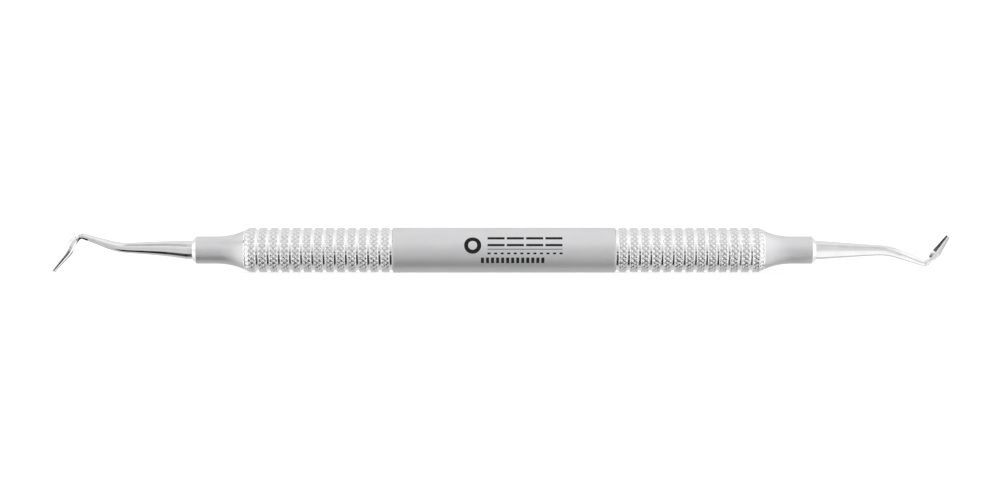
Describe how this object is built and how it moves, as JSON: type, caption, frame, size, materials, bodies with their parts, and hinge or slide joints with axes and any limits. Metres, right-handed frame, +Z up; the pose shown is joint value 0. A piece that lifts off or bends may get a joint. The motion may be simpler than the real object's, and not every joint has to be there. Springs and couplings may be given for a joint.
{
  "type": "double-ended dental hand instrument",
  "caption": "Slim double-ended stainless steel dental hand instrument with a smooth barrel, ring-grooved knurled grips, tapered shanks and small angled, ridged blades.",
  "frame": {"origin": "middle of the handle's length, on the handle's axis", "axes": "+X along the handle towards the end with the shorter blade, +Z up in the plane of both bends, the shorter blade pointing up and the longer blade pointing down"},
  "size_m": [0.1798, 0.009, 0.009],
  "materials": {
    "barrel_satin_steel": "satin, finely turned",
    "grip_knurled_steel": "fine diamond knurl on the lands, turned neck",
    "working_end_polished_steel": "ground and polished",
    "inner_steel": "as machined",
    "laser_mark": "dark matt laser marking"
  },
  "bodies": {
    "root": {"centre_barrel": "barrel_satin_steel", "left_grip": "grip_knurled_steel", "right_grip": "grip_knurled_steel", "left_joining_sleeve": "inner_steel", "right_joining_sleeve": "inner_steel", "left_working_end": "working_end_polished_steel", "right_working_end": "working_end_polished_steel"}
  },
  "joints": []
}
